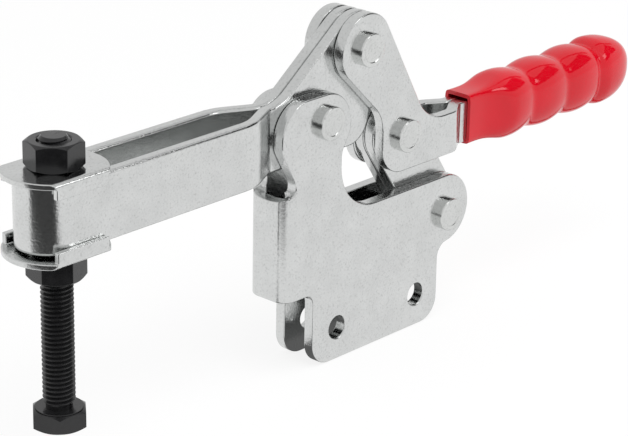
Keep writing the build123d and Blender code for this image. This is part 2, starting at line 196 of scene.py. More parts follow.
# %% Black oxide
def black_oxide():
    """Dark steel with a dull sheen that drifts over its faces."""
    material, tree, shader = new_finish("black_oxide")
    shader.inputs["IOR"].default_value = 1.5
    patches, grain = noises(tree, (300.0, 6.0, 0.65), (2500.0, 2.0, 0.5))
    colour = ramp(tree, patches, [(0.3, (0.006, 0.006, 0.0065)), (0.75, (0.013, 0.013, 0.014))])
    tree.links.new(colour, shader.inputs["Base Color"])
    shine = ramp(tree, patches, [(0.3, 0.17), (0.7, 0.27)])
    tree.links.new(shine, shader.inputs["Roughness"])
    bumps(tree, shader, (grain, 0.25, 0.00004))
    return material


dark_steel = black_oxide()
print("black finish:", dark_steel.name)

# %% [markdown]
# ## Dipped vinyl on the grip
# A grip like this is a dip moulding. Vinyl that sets on a hot former comes out glossy, a little uneven,
# and deep in colour: where it mirrors something dark it is a pure red. A clear coat over red would
# gleam too evenly, so one low roughness gives the gloss and a slow bump gives the uneven skin.

# %% Grip vinyl
def vinyl():
    """Glossy red skin with a slow unevenness."""
    material, tree, shader = new_finish("grip_vinyl")
    shader.inputs["Roughness"].default_value = 0.11
    shader.inputs["IOR"].default_value = 1.5
    drift, skin = noises(tree, (60.0, 3.0, 0.5), (180.0, 2.0, 0.5))
    colour = ramp(tree, drift, [(0.3, (0.54, 0.0008, 0.009)), (0.7, (0.60, 0.0012, 0.012))])
    tree.links.new(colour, shader.inputs["Base Color"])
    bumps(tree, shader, (skin, 0.25, 0.0002))
    return material


grip_vinyl = vinyl()
print("grip finish:", grip_vinyl.name)

# %% [markdown]
# ## Numbers that a node tree works out
# A thread, a turned pin and a finger grip all follow a rule, so geometry nodes can make each of them
# from a flat grid: every point of the grid knows its place in the pattern, and a short formula says
# where it goes. Drawn as single nodes, such a formula fills a screen. This small class lets it be
# written as arithmetic, and each operation adds one math node to the tree.

# %% Arithmetic on fields
class Field:
    """A number that a node tree works out at every point."""

    def __init__(self, tree, socket):
        self.tree = tree
        self.socket = socket

    def math(self, operation, *others):
        """Add a math node that takes this number first."""
        made = self.tree.nodes.new("ShaderNodeMath")
        made.operation = operation
        for socket, value in zip(made.inputs, (self, *others)):
            if isinstance(value, Field):
                self.tree.links.new(value.socket, socket)
            else:
                socket.default_value = value
        return Field(self.tree, made.outputs[0])

    def __add__(self, other):
        return self.math("ADD", other)

    def __sub__(self, other):
        return self.math("SUBTRACT", other)

    def __mul__(self, other):
        return self.math("MULTIPLY", other)

    def __truediv__(self, other):
        return self.math("DIVIDE", other)

    def power(self, other):
        return self.math("POWER", other)

    def least(self, other):
        return self.math("MINIMUM", other)

    def most(self, other):
        return self.math("MAXIMUM", other)

    def between(self, low, high):
        """The number, held between two limits."""
        return self.most(low).least(high)

    def flipped(self):
        """One less the number, which swaps the ends of a share from 0 to 1."""
        return self * -1.0 + 1.0

    def ceiling(self):
        """The next whole number, which is 1 all over a share from 0 to 1 except at 0."""
        return self.math("CEIL")

    def size(self):
        """The number without its sign."""
        return self.math("ABSOLUTE")

    def sign(self):
        return self.math("SIGN")

    def part(self):
        """What is left of the number after its whole part."""
        return self.math("FRACT")

    def sin(self):
        return self.math("SINE")

    def cos(self):
        return self.math("COSINE")


# %% [markdown]
# ## A grid that rolls up
# Every tree below starts in the same way. Its inputs are named, so a maker can change a size in the
# modifier panel. A flat grid stands for the piece's skin: its columns go once round the axis and its
# rows go from end to end. Once its points are placed, the seam and the ends meet and are welded. At the
# end the instances are made real and painted, because an export keeps only real faces.

# %% The start, middle and end of every tree
weld_reach = 2e-6               # points closer than this are one point


def new_tree(name, inputs):
    """A node group with its named inputs, given as name and kind, and its two ends."""
    tree = bpy.data.node_groups.new(name, "GeometryNodeTree")
    kinds = {"Geometry": "NodeSocketGeometry", **inputs, "Material": "NodeSocketMaterial"}
    for label, kind in kinds.items():
        tree.interface.new_socket(label, in_out="INPUT", socket_type=kind)
    tree.interface.new_socket("Geometry", in_out="OUTPUT", socket_type="NodeSocketGeometry")
    return tree, tree.nodes.new("NodeGroupInput"), tree.nodes.new("NodeGroupOutput")


def chain(tree, *steps):
    """Hand the geometry on from each node to the next."""
    for before, after in zip(steps, steps[1:]):
        tree.links.new(before.outputs[0], after.inputs["Geometry"])


def skin_grid(tree, rows, columns):
    """A flat grid, with the places of its points and the angle and row that each one stands for."""
    grid = node(tree, "GeometryNodeMeshGrid", Size_X=1.0, Size_Y=1.0)
    grid.inputs["Vertices X"].default_value = columns + 1
    grid.inputs["Vertices Y"].default_value = rows + 1
    places = tree.nodes.new("GeometryNodeInputPosition").outputs[0]
    spot = tree.nodes.new("ShaderNodeSeparateXYZ")
    tree.links.new(places, spot.inputs[0])
    turn = (Field(tree, spot.outputs["X"]) + 0.5) * math.tau
    row = (Field(tree, spot.outputs["Y"]) + 0.5) * rows
    return grid, places, turn, row


def welded(tree, grid, *place):
    """Move the grid's points to their places and weld the ones that meet."""
    target = tree.nodes.new("ShaderNodeCombineXYZ")
    for letter, value in zip("XYZ", place):
        tree.links.new(value.socket, target.inputs[letter])
    move = tree.nodes.new("GeometryNodeSetPosition")
    tree.links.new(target.outputs["Vector"], move.inputs["Position"])
    weld = node(tree, "GeometryNodeMergeByDistance", Distance=weld_reach)
    chain(tree, grid, move, weld)
    return weld


def painted(tree, entry, last, leave):
    """Make instances real, give the faces their material and hand them out."""
    whole = tree.nodes.new("GeometryNodeRealizeInstances")
    paint = tree.nodes.new("GeometryNodeSetMaterial")
    tree.links.new(entry.outputs["Material"], paint.inputs["Material"])
    chain(tree, last, whole, paint, leave)


# %% [markdown]
# ## From a tree to a piece
# A node group runs as a modifier on a worker object. The modifier's inputs are filled before the first
# evaluation, the evaluated result is copied to a plain mesh, and the worker goes. The plain mesh is
# then wrapped in an object at the origin, which is hung on the body it moves with, and the solid of
# the CAD model that it stands for is hidden.

# %% Run a tree and wrap its mesh
def settled(mesh, name, tree, values, sharp):
    """Run a node group on a mesh and return the closed result, with edges past the sharp angle kept sharp."""
    worker = bpy.data.objects.new(name, mesh)
    bpy.context.scene.collection.objects.link(worker)
    modifier = worker.modifiers.new(name, "NODES")
    modifier.node_group = tree
    for item in tree.interface.items_tree:
        if item.in_out == "INPUT" and item.name in values:
            modifier[item.identifier] = values[item.name]
    bpy.context.view_layer.update()
    made = bpy.data.meshes.new_from_object(worker.evaluated_get(bpy.context.evaluated_depsgraph_get()))
    bpy.data.objects.remove(worker)
    work = bmesh.new()
    work.from_mesh(made)
    bmesh.ops.recalc_face_normals(work, faces=work.faces)
    work.to_mesh(made)
    work.free()
    made.set_sharp_from_angle(angle=math.radians(sharp))
    made.name = name
    return made


def piece_from(mesh, name, material, body, replaced):
    """Wrap a mesh in an object, hang it on its body and hide the solids that it stands for."""
    piece = bpy.data.objects.new(name, mesh)
    bpy.context.scene.collection.objects.link(piece)
    mesh.materials.clear()
    mesh.materials.append(material)
    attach(piece, body)
    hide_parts(*replaced)
    print(name, "faces:", len(mesh.polygons))
    return piece


def round_edges(piece, width, segments, least_angle):
    """Round the edges where faces meet at this angle or more, and keep the flats flat."""
    for face in piece.data.polygons:
        face.use_smooth = True
    bevel = piece.modifiers.new("round edges", "BEVEL")
    bevel.width = width
    bevel.segments = segments
    bevel.limit_method = "ANGLE"
    bevel.angle_limit = math.radians(least_angle)
    flat = piece.modifiers.new("flat faces", "WEIGHTED_NORMAL")
    flat.keep_sharp = True
    return bevel


# %% [markdown]
# ## Hexagons
# A hexagon nut starts as a cut of hexagon bar. The lathe then takes off the corners at both ends with
# a 30 degree cone, and sinks the mouths of the bore. A plain prism with a bevel would round the flats'
# edges instead and miss the arcs that the cone leaves on them. So the skin is built from rings of
# points round the axis, each either a circle or the hexagon itself, drawn in where the cone cut it.

# %% A skin from rings
hex_flats = 0.019
rim_radius = hex_flats / 2 - 0.0003     # the cone's rim lies just inside the flats
cone_slope = math.tan(math.radians(30))
ring_steps = 96                 # points in each ring
screw_radius = 0.006
washer_low, washer_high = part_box("upper_washer")
axis = Vector(((washer_low.x + washer_high.x) / 2, 0, 0))
print("spindle axis at x in mm:", round(axis.x * 1000, 2))


def hex_radius(angle, turn):
    """Distance from the axis to the hexagon's side at an angle."""
    return hex_flats / 2 / math.cos((angle - turn) % (math.pi / 3) - math.pi / 6)


def hexagon_mesh(name, turn_degrees, rings, closed):
    """Rings listed as (radius or "hex", level, cone direction), joined into one skin."""
    turn = math.radians(turn_degrees)
    work = bmesh.new()
    loops = []
    for radius, level, cone in rings:
        loop = []
        for i in range(ring_steps):
            angle = turn + i * math.tau / ring_steps
            reach = hex_radius(angle, turn) if radius == "hex" else radius
            height = level - cone * (reach - rim_radius) * cone_slope
            loop.append(work.verts.new((axis.x + reach * math.cos(angle), reach * math.sin(angle), height)))
        loops.append(loop)
    pairs = list(zip(loops, loops[1:]))
    if closed:
        pairs.append((loops[-1], loops[0]))
    else:
        work.faces.new(loops[0])
        work.faces.new(loops[-1])
    for lower, upper in pairs:
        for i in range(ring_steps):
            j = (i + 1) % ring_steps
            work.faces.new((lower[i], lower[j], upper[j], upper[i]))
    bmesh.ops.recalc_face_normals(work, faces=work.faces)
    bmesh.ops.dissolve_limit(work, angle_limit=math.radians(0.5), verts=work.verts, edges=work.edges)
    mesh = bpy.data.meshes.new(name)
    work.to_mesh(mesh)
    work.free()
    return mesh


# %% Nuts
nut_turns = {"upper_nut": 13.5, "lower_nut": 20.3}      # degrees
bore_radius = screw_radius + 0.00008
mouth_radius = screw_radius + 0.0006
mouth_depth = 0.0005
nut_edge = 0.00022


def make_nut(name, turn):
    """A nut in the place of a CAD node: down out of the bore, up the flats, and into the bore again."""
    low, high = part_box(name)[0].z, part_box(name)[1].z
    rings = [
        (bore_radius, low + mouth_depth, 0), (mouth_radius, low, 0),
        (rim_radius, low, 0), ("hex", low, -1), ("hex", high, 1), (rim_radius, high, 0),
        (mouth_radius, high, 0), (bore_radius, high - mouth_depth, 0),
    ]
    mesh = hexagon_mesh(name + "_hexagon", turn, rings, True)
    nut = piece_from(mesh, name + "_hexagon", dark_steel, "carriage", [name])
    round_edges(nut, nut_edge, segments=2, least_angle=20)


for nut_name, nut_turn in nut_turns.items():
    make_nut(nut_name, nut_turn)

# %% [markdown]
# ## A real screw thread
# An M12 coarse thread climbs 1.75 mm with each turn. A rolled thread has a flat crest, an eighth of
# the pitch wide, 60 degrees between its flanks, and a root twice as wide as the crest. A stack of rings
# would look like a thread from the side, but it wouldn't climb. Here the grid's rows climb with the
# helix, eight to a turn, so the crest stays crisp with few faces. After one turn each row meets the
# row eight above it, and welding them closes the shell. At the tip the thread is cut by a cone, and
# next to the head it runs out into a plain neck.

# %% The thread's rule
thread_pitch = 0.00175
rows_a_turn = 8
crest_share = 1 / 8             # of the pitch
root_share = 1 / 4
flank_share = (1 - crest_share - root_share) / 2


def thread_place(turn, row, given):
    """Where a grid point lies on the screw."""
    pitch, low, high = given["Pitch"], given["Low"], given["High"]
    level = low + (row / rows_a_turn - 1.0 + turn / math.tau) * pitch
    level = level.most(low).least(high)
    # the first row of each turn is the crest's lower edge, so the crest's middle lies half a crest above it
    from_crest = ((row / rows_a_turn).part() + (1 - crest_share) / 2).part() - 0.5
    climb = ((from_crest.size() * -1.0 + (1 - root_share) / 2) / flank_share).between(0.0, 1.0)
    radius = given["Root radius"] + climb * given["Depth"]
    radius = radius.least(given["Tip radius"] + (high - level))
    radius = radius.least(given["Root radius"] + (level - low - given["Neck"]).most(0.0))
    # the first and the last row shrink to a point and close the ends
    radius = radius * row.least(1.0) * (given["Rows"] - row).least(1.0)
    return turn.cos() * radius + given["Axis X"], turn.sin() * radius, level


print("crest, flank and root in mm:",
      [round(share * thread_pitch * 1000, 3) for share in (crest_share, flank_share, root_share)])

# %% A tree that adds a shell
def shell_tree(name, inputs, rows, columns, place):
    """A node group that adds a rolled-up shell to the mesh it is given."""
    tree, entry, leave = new_tree(name, {label: "NodeSocketFloat" for label in inputs})
    grid, _, turn, row = skin_grid(tree, rows, columns)
    given = {label: Field(tree, entry.outputs[label]) for label in inputs}
    shell = welded(tree, grid, *place(turn, row, given))
    both = tree.nodes.new("GeometryNodeJoinGeometry")
    smooth = tree.nodes.new("GeometryNodeSetShadeSmooth")
    chain(tree, entry, both)
    chain(tree, shell, both, smooth)
    painted(tree, entry, smooth, leave)
    return tree


# %% [markdown]
# ## The spindle
# The screw hangs head down, and its head presses on the work. The head is a hexagon with a raised
# round face on the thread's side. The shell of the thread starts a little inside that face, so no gap
# shows between them, and the head goes into the node tree as the mesh that the thread is added to.

# %% The spindle
head_high = 0.0075
head_turn = 49.0                # degrees
face_radius = 0.0088
face_high = 0.0005
root_radius = 0.00493
tip_radius = 0.0044             # where the cone cuts the thread's end
neck_length = 0.0016            # the plain neck between the head and the thread
thread_sunk = 0.0002            # how far the thread's shell starts inside the head
thread_columns = 48


def make_spindle():
    """Head and thread as one piece."""
    low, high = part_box("spindle")
    head_top = low.z + head_high
    face_foot = head_top - face_high
    rings = [
        (rim_radius, low.z, 0), ("hex", low.z, -1), ("hex", face_foot, 1),
        (rim_radius, face_foot, 0), (face_radius, face_foot, 0), (face_radius, head_top, 0),
    ]
    head = hexagon_mesh("spindle_head", head_turn, rings, False)
    turns = math.ceil((high.z - head_top) / thread_pitch) + 1
    values = {
        "Pitch": thread_pitch, "Low": head_top - thread_sunk, "High": high.z, "Root radius": root_radius,
        "Depth": screw_radius - root_radius, "Tip radius": tip_radius, "Neck": neck_length, "Axis X": axis.x,
        "Rows": float(rows_a_turn * turns),
    }
    tree = shell_tree("screw_thread", list(values), rows_a_turn * turns, thread_columns, thread_place)
    mesh = settled(head, "spindle_screw", tree, {**values, "Material": dark_steel}, sharp=30)
    piece_from(mesh, "spindle_screw", dark_steel, "spindle", ["spindle"])
    print("turns in the thread's grid:", turns)


make_spindle()

# %% [markdown]
# ## Turned rivet pins
# The four pivots are shouldered pins whose ends are spun over into flat heads. The spinning tool
# leaves a rounded rim, a faint ring and a small dimple. A cylinder with a bevel has none of those, so
# one outline is drawn instead, from the middle of one head to the middle of the other. The node group
# turns it round its axis, and sets a copy on each of the two pivots that a body carries.

# %% The pin's outline
pin_shank = 0.0045
head_rim = 0.0006               # radius of the head's rounded rim
rim_steps = 6
# the head's face from its middle outwards, as (radius, how far it lies below the rim)
head_face = [
    (0.0, 0.00022), (0.0006, 0.0002), (0.0012, 0.0001),             # a dimple
    (0.0027, 0.0001), (0.0030, 0.00018), (0.0033, 0.0001),          # the tool's ring
    (0.0044, 0.0001), (0.0047, 0.00016), (0.0050, 0.0),             # a step up to the rim
]


def corner_arc(centre, radius, start, end, steps):
    """Points on an arc, as (radius, height) of the pin's outline."""
    angles = [math.radians(start + (end - start) * i / steps) for i in range(steps + 1)]
    return [(centre[0] + radius * math.cos(a), centre[1] + radius * math.sin(a)) for a in angles]


def pin_outline(node_name):
    """The pin's half outline from the middle of one head to the middle of the other."""
    low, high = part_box(node_name)
    top = high.y
    head = (high.z - low.z) / 2
    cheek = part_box("base")[1].y
    upper = [(radius, top - sunk) for radius, sunk in head_face]
    upper += corner_arc((head - head_rim, top - head_rim), head_rim, 90, 0, rim_steps)
    upper += [(head, cheek), (pin_shank, cheek)]
    return upper + [(r, -y) for r, y in reversed(upper)]


print("points on a pin's outline:", len(pin_outline("arm_pin")))

# %% The pins' tree
def pin_tree(rows, columns):
    """A node group that turns an outline round an axis along Y and repeats it on two pivots."""
    tree, entry, leave = new_tree(
        "turned_pins", {"First pivot": "NodeSocketVector", "Step to the next": "NodeSocketVector"})
    grid, places, turn, row = skin_grid(tree, rows, columns)
    # each row of the grid looks up its own point of the outline
    pick = node(tree, "GeometryNodeSampleIndex", data_type="FLOAT_VECTOR")
    tree.links.new(entry.outputs["Geometry"], pick.inputs["Geometry"])
    tree.links.new(places, pick.inputs["Value"])
    tree.links.new((row + 0.5).socket, pick.inputs["Index"])
    point = tree.nodes.new("ShaderNodeSeparateXYZ")
    tree.links.new(pick.outputs["Value"], point.inputs[0])
    radius, height = Field(tree, point.outputs["X"]), Field(tree, point.outputs["Y"])
    pin = welded(tree, grid, turn.cos() * radius, height, turn.sin() * radius)
    smooth = tree.nodes.new("GeometryNodeSetShadeSmooth")
    chain(tree, pin, smooth)
    pivots = node(tree, "GeometryNodeMeshLine", Count=2)
    tree.links.new(entry.outputs["First pivot"], pivots.inputs["Start Location"])
    tree.links.new(entry.outputs["Step to the next"], pivots.inputs["Offset"])
    copies = tree.nodes.new("GeometryNodeInstanceOnPoints")
    tree.links.new(pivots.outputs["Mesh"], copies.inputs["Points"])
    tree.links.new(smooth.outputs["Geometry"], copies.inputs["Instance"])
    painted(tree, entry, copies, leave)
    return tree


# %% Pins
pin_columns = 72


def pivot_of(node_name):
    """The middle of a pin."""
    low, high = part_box(node_name)
    return Vector(((low.x + high.x) / 2, 0, (low.z + high.z) / 2))


def make_pins(name, body, first, second):
    """The two pins that a body carries."""
    outline = pin_outline(first)
    mesh = bpy.data.meshes.new(name)
    mesh.from_pydata([(r, y, 0) for r, y in outline], [], [])
    tree = pin_tree(len(outline) - 1, pin_columns)
    values = {"First pivot": pivot_of(first), "Step to the next": pivot_of(second) - pivot_of(first),
              "Material": pin_zinc}
    mesh = settled(mesh, name, tree, values, sharp=25)
    piece_from(mesh, name, pin_zinc, body, [first, second])


make_pins("base_pins", "base", "arm_pin", "link_pin")
make_pins("handle_pins", "handle", "handle_pin", "knee_pin")

# %% [markdown]
# ## The dipped grip
# The grip is a chain of soft swellings for the fingers. Its mouth is a rounded rectangle that hugs the
# tang, and from there the neck swells into the first bump. It could be sculpted, or lofted from a few
# sections, but the bumps repeat, so a rule is shorter and stays smooth. Each cross-section is a
# superellipse, whose exponent says how square it is: nine at the mouth and about two and a half in the
# bumps. The lengthwise outline is a chain of arcs with soft creases, and ends in a rounded tip.

# %% The grip's sizes
grip_facts = {
    # along the handle
    "Mouth": 0.0595, "First peak": 0.08595, "Pitch": 0.0235, "Last crease": 0.1447, "Last peak": 0.1506,
    "Reach": 0.0225,
    # across it: half heights, how deep a crease dips, width as a share of height, and the axis's height
    "Bump": 0.01450, "End bump": 0.01490, "Dip": 0.00177, "Width": 0.86, "Level": 0.06614, "Tilt": 0.006,
    "Mouth half height": 0.0107, "Mouth half width": 0.0068, "Mouth square": 9.0, "Bump square": 2.43,
    # the cavity that holds the tang
    "Tang half height": 0.00905, "Tang half width": 0.00525, "Cavity end": 0.16015,
}
grip_rows = {"cavity": 3, "body": 150, "cap": 22}
grip_columns = 112
crease_round = 0.16             # the share of each half bump that rounds its crease
neck_start = 1.7                # more than 1 lets the neck stay slim for longer
square_start = 0.4              # less than 1 rounds the neck's corners early
cavity_square = 2.5             # how much squarer than the mouth the cavity is
print("grip, rows and columns:", sum(grip_rows.values()), grip_columns)

# %% The grip's outline
def bump_half(body_x, given):
    """Half the grip's height along the bumps: a chain of arcs whose creases are rounded."""
    phase = (body_x - given["First peak"]) / given["Pitch"]
    off_peak = ((phase + 0.5).part() - 0.5).size() * 2.0
    curl = (off_peak - (1.0 - crease_round)).most(0.0)
    sag = (off_peak * off_peak - curl * curl / crease_round) / (1.0 - crease_round)
    # the last bump is short and a little larger, and rises from the last crease
    late = ((body_x - given["Last crease"]) / (given["Last peak"] - given["Last crease"])).between(0.0, 1.0)
    in_chain = given["Bump"] - sag * given["Dip"] * late.flipped().ceiling()
    crease = given["Bump"] - given["Dip"]
    rise = late.flipped().power(2.0).flipped()
    return in_chain + late.ceiling() * (crease + rise * (given["End bump"] - crease) - in_chain)


def section_of(body_x, given):
    """The grip's half height, half width and squareness, eased from the mouth to the first bump."""
    share = ((body_x - given["Mouth"]) / (given["First peak"] - given["Mouth"])).between(0.0, 1.0)
    ease = (share.power(neck_start) * math.pi).cos() * -0.5 + 0.5
    before = share.flipped().ceiling()
    swell = given["Bump"] * before + bump_half(body_x, given) * before.flipped()
    half = given["Mouth half height"] + ease * (swell - given["Mouth half height"])
    wide = given["Mouth half width"] + ease * (swell * given["Width"] - given["Mouth half width"])
    square = given["Mouth square"] + ease.power(square_start) * (given["Bump square"] - given["Mouth square"])
    return half, wide, square


# %% The grip's rule
def grip_place(turn, row, given):
    """Where a grid point lies on the grip."""
    cavity, body, cap = grip_rows["cavity"], grip_rows["body"], grip_rows["cap"]
    along = ((row - cavity) / body).between(0.0, 1.0)
    bend = ((row - cavity - body) / cap).between(0.0, 1.0) * (math.pi / 2)
    body_x = given["Mouth"] + along * (given["Last peak"] - given["Mouth"])
    half, wide, square = section_of(body_x, given)
    half = half * bend.cos()
    wide = wide * bend.cos()
    x = body_x + bend.sin() * given["Reach"]
    # rows 0 to 2 line the cavity that holds the tang: its end, its far rim and its mouth
    inside = row.math("LESS_THAN", 2.5)
    depth = row.math("LESS_THAN", 1.5)
    x_inside = given["Mouth"] + depth * (given["Cavity end"] - given["Mouth"])
    point = row.least(1.0)
    x = x + inside * (x_inside - x)
    half = half + inside * (given["Tang half height"] * point - half)
    wide = wide + inside * (given["Tang half width"] * point - wide)
    square = square + inside * (given["Mouth square"] * cavity_square - square)
    away = square.power(-1.0) * 2.0
    y = turn.cos().sign() * turn.cos().size().power(away) * wide
    lift = (body_x - given["First peak"]).most(0.0) * given["Tilt"]
    z = turn.sin().sign() * turn.sin().size().power(away) * half + given["Level"] + lift
    return x, y, z


def make_grip():
    """The whole grip as one closed skin."""
    tree = shell_tree("finger_grip", list(grip_facts), sum(grip_rows.values()), grip_columns, grip_place)
    empty = bpy.data.meshes.new("finger_grip")
    mesh = settled(empty, "finger_grip", tree, {**grip_facts, "Material": grip_vinyl}, sharp=50)
    piece_from(mesh, "finger_grip", grip_vinyl, "handle", ["grip"])


make_grip()

# %% [markdown]
# ## Rolled edges on pressed sheet
# A press shears sheet metal and rolls its upper edge over, so no edge is sharp and each one catches
# a line of light or dark. The flat outlines are right in the CAD solids, and modelling them again would
# only lose that. So a solid's mesh is copied, its loose triangles are joined into whole faces, and a
# Bevel modifier rolls the edges. A Weighted Normal modifier keeps the flats flat.

# %% Join a solid's faces and roll its edges
def joined(source):
    """Copy a solid's mesh and merge its triangles into whole flat faces."""
    work = bmesh.new()
    work.from_mesh(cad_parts[source].data)
    bmesh.ops.remove_doubles(work, verts=work.verts, dist=weld_reach)
    bmesh.ops.dissolve_limit(work, angle_limit=math.radians(1.0), verts=work.verts, edges=work.edges)
    mesh = bpy.data.meshes.new(source + "_sheet")
    work.to_mesh(mesh)
    work.free()
    return mesh


def rolled(source, body, roll, mesh):
    """A sheet piece in the place of a solid, with its sharp edges rolled over."""
    piece = piece_from(mesh, source + "_sheet", plate_zinc, body, [source])
    bevel = round_edges(piece, roll, segments=3, least_angle=35)
    # the limit on overlaps would shrink every roll to suit the shortest edge
    bevel.use_clamp_overlap = False
    bevel.miter_outer = "MITER_ARC"


# %% [markdown]
# ## The dip in the base's web
# The base is one sheet, folded so that a web joins its two cheeks in front. The web's top edge is a
# notch under the arm, whose floor is a shallow dip that turns up into each cheek's ear. The solid has a
# small tongue there instead, so a closed block in the shape of the notch is cut out of the copy of the
# base's mesh. A boolean is the quickest way to change one place of a mesh, and the slivers that it
# leaves are welded away, because the rolled edges need clean faces.

# %% The block that cuts the notch
web_behind_ears = 0.002         # the web's front lies this far behind the ears
sheet_thick = 0.005
cut_past = 0.0001               # the block stands this far out of the web behind
cut_before = 0.003              # and this far in front
dip_low = 0.0596                # the lowest level of the notch's floor
dip_sweep = 0.0243              # the radius of its dip
dip_half = 0.0112               # half the block's width
dip_top = 0.0685                # the block's top, above the web's
turn_least = 0.0002             # how far the floor turns up at the rear, in the middle
turn_more = 0.0030              # and how much more beside the ears
turn_from = 0.005               # it starts to turn up more this far from the middle
turn_over = 0.003               # and has done so after this much more


def notch_block():
    """A closed block whose lower face is the notch's floor, made from ribs across the web."""
    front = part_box("base")[0].x + web_behind_ears - cut_before
    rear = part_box("base")[0].x + web_behind_ears + (sheet_thick + cut_past)
    steps = [math.radians(d) for d in range(15, 91, 15)]
    across = 24
    work = bmesh.new()
    ribs = []
    for i in range(across + 1):
        y = dip_half * (2 * i / across - 1)
        low = dip_low + y * y / (2 * dip_sweep)
        turn_up = turn_least + turn_more * min(1.0, max(0.0, (abs(y) - turn_from) / turn_over))
        side = [(front, 0.0), (rear - turn_up, 0.0)]
        side += [(rear - turn_up * (1 - math.sin(a)), turn_up * (1 - math.cos(a))) for a in steps]
        rib = [work.verts.new((x, y, low + rise)) for x, rise in side]
        rib += [work.verts.new((rear, y, dip_top)), work.verts.new((front, y, dip_top))]
        ribs.append(rib)
    for before, after in zip(ribs, ribs[1:]):
        for j in range(len(before)):
            k = (j + 1) % len(before)
            work.faces.new((before[j], after[j], after[k], before[k]))
    work.faces.new(ribs[0])
    work.faces.new(ribs[-1])
    bmesh.ops.recalc_face_normals(work, faces=work.faces)
    mesh = bpy.data.meshes.new("notch_block")
    work.to_mesh(mesh)
    work.free()
    return mesh


print("the dip rises to its ends by, in mm:", round(dip_half ** 2 / (2 * dip_sweep) * 1000, 1))

# %% Cut the notch
sliver = 0.0001                 # edges shorter than this are welded


def cut_away(mesh, cutter):
    """Take a closed cutter mesh out of a closed mesh."""
    kept = bpy.data.objects.new("kept", mesh)
    tool = bpy.data.objects.new("tool", cutter)
    for item in (kept, tool):
        bpy.context.scene.collection.objects.link(item)
    cut = kept.modifiers.new("cut", "BOOLEAN")
    cut.operation = "DIFFERENCE"
    cut.solver = "EXACT"
    cut.object = tool
    bpy.context.view_layer.update()
    made = bpy.data.meshes.new_from_object(kept.evaluated_get(bpy.context.evaluated_depsgraph_get()))
    for item in (kept, tool):
        bpy.data.objects.remove(item)
    work = bmesh.new()
    work.from_mesh(made)
    bmesh.ops.remove_doubles(work, verts=work.verts, dist=sliver)
    bmesh.ops.dissolve_degenerate(work, dist=sliver, edges=work.edges)
    work.to_mesh(made)
    work.free()
    return made


base_mesh = cut_away(joined("base"), notch_block())
print("base with its notch, faces:", len(base_mesh.polygons))

# %% Every sheet piece
# node, body, slot, and how far its edges roll over
sheets = [
    ("arm", "arm", "arm_zinc", 0.0015),
    ("handle_near", "handle", "plate_zinc", 0.0008),
    ("handle_far", "handle", "plate_zinc", 0.0008),
    ("link_near", "link", "plate_zinc", 0.0008),
    ("link_far", "link", "plate_zinc", 0.0008),
    ("upper_washer", "carriage", "washer_zinc", 0.0004),
    ("lower_washer", "carriage", "washer_zinc", 0.0004),
]

# the base's near and far edges are already rolled in the solid, so only the rest is rounded here
rolled("base", "base", 0.0004, base_mesh)
for source, body, slot, roll in sheets:
    rolled(source, body, roll, joined(source))

# %% [markdown]
# ## Bushes
# A hard sleeve sits on each pin and carries the middle sheets. The solids are right as they are, and
# little of them shows, so they stay and only take a duller steel.

# %% Finishes for the nodes that stay
bushes = ["arm_bush", "handle_bush", "knee_bush", "link_bush"]
for bush in bushes:
    for material_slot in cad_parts[bush].material_slots:
        material_slot.material = bush_steel
print("bushes in", bush_steel.name + ":", len(bushes))

# %% [markdown]
# ## Floor
# Plated metal has no look of its own: it shows what it mirrors. A floor that is white all over keeps
# the background clean but leaves the metal without any depth, and a dark floor does the opposite. So
# this floor has two faces. The camera sees it white, with the clamp's soft shadow. Reflections see a
# painted glow: white near the clamp, dark out in front, which puts the dark band on the arm's round
# nose, and a painted shade under the clamp, where its own shade lies.

# %% What reflections see of the floor
toward_front = (-0.661, -0.750)         # from the clamp's middle out to the front, seen from above
dark_from = 0.15                        # the floor starts to darken this far out
dark_over = 0.14                        # and is dark after this much more
dark_left = (0.17, 0.23, 0.014)         # the dark's left edge: where it starts, its slope, its softness
dark_right = (0.866, 0.5, 0.038, 0.06)  # its right edge: a direction, a distance, its softness
floor_light = 0.92
floor_dark = 0.86                       # how much of that light the dark takes away
shade_across = (0.0105, 0.002)          # the painted shade under the clamp: its half width and its softness
shade_along = (0.05, 0.22, 0.06)        # its middle, its half length and its softness
shade_depth = 0.85
print("floor dark from, in mm:", dark_from * 1000, "shade's width in mm:", 2 * shade_across[0] * 1000)


def reflected_floor(tree):
    """How bright a reflection finds the floor at each point, with its painted dark and painted shade."""
    place = node(tree, "ShaderNodeSeparateXYZ")
    tree.links.new(node(tree, "ShaderNodeTexCoord").outputs["Object"], place.inputs[0])
    x, y = Field(tree, place.outputs["X"]), Field(tree, place.outputs["Y"])
    outward = x * toward_front[0] + y * toward_front[1]
    fade = ((outward - dark_from) / dark_over).between(0.0, 1.0)
    start, slope, soft = dark_left
    left_edge = (((x * -1.0 - start) * slope - y) / soft).between(0.0, 1.0)
    along_x, along_y, distance, soft = dark_right
    right_edge = ((y * along_y - x * along_x - distance) / soft).between(0.0, 1.0)
    light = (fade * left_edge * right_edge) * -floor_dark + floor_light
    half, soft = shade_across
    beside = ((y.size() * -1.0 + half) / soft).between(0.0, 1.0)
    middle, half, soft = shade_along
    along = (((x - middle).size() * -1.0 + half) / soft).between(0.0, 1.0)
    return light * (beside * along * -shade_depth + 1.0)


# %% Floor
floor_reach = 6.0
floor_gap = 0.0002              # between the clamp's feet and the floor
own_light = 0.85                # how much of the floor's look to the camera is its own white


